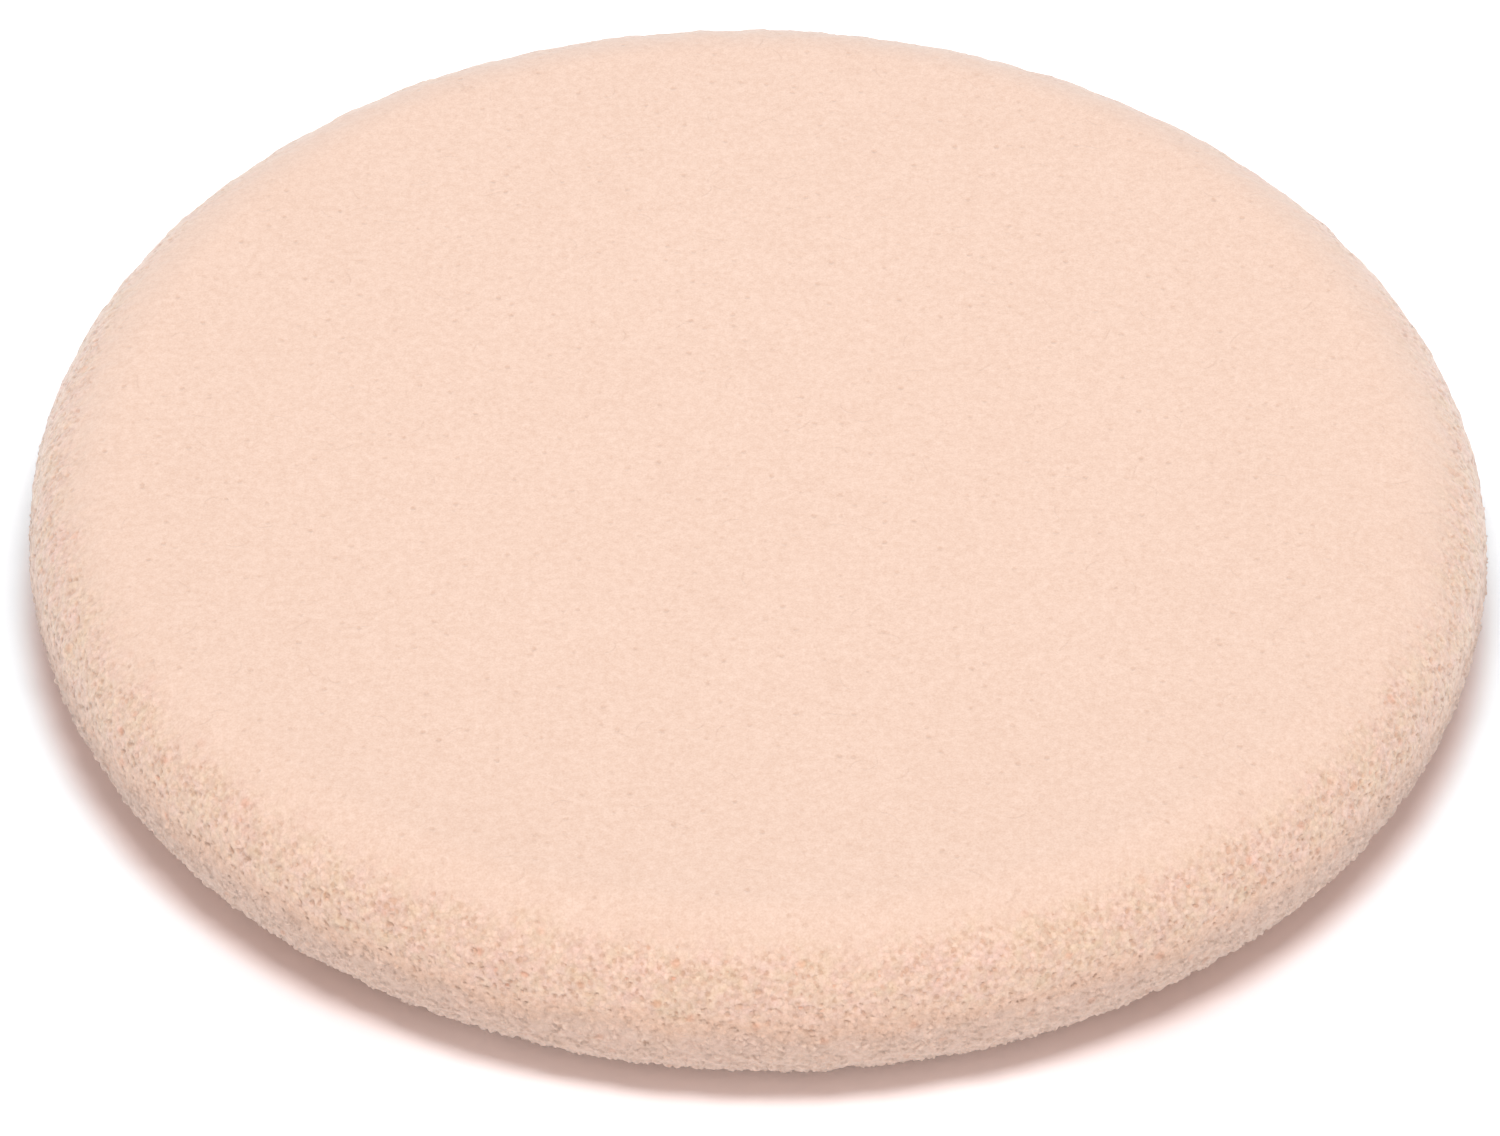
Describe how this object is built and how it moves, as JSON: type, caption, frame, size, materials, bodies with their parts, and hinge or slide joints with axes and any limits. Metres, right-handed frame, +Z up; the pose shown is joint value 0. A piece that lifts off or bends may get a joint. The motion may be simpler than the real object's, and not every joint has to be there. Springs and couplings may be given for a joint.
{
  "type": "makeup sponge",
  "caption": "Round flat foam sponge with smooth fine-celled faces and a fully rounded open-celled edge, pressed on the skin to apply and blend make-up.",
  "frame": {"origin": "middle of the lower face, on the surface that the sponge lies on", "axes": "+Z up through both faces, the axis of the disc; X and Y lie in the lower face, and the disc is round so neither is special"},
  "size_m": [0.06, 0.06, 0.008],
  "materials": {
    "face_foam": "matt, fine-celled latex foam, smooth from the mould",
    "core_foam": "matt, open-celled latex foam, ground"
  },
  "bodies": {
    "base": {"bottom_skin": "face_foam", "foam_core": "core_foam"},
    "face": {"top_skin": "face_foam"}
  },
  "joints": [
    {"name": "face_press", "type": "slide", "parent": "base", "child": "face", "axis": [0, 0, -1], "range_m": [0, 0.004], "stiffness_N_per_m": 5000, "deforming": ["foam_core"]}
  ]
}
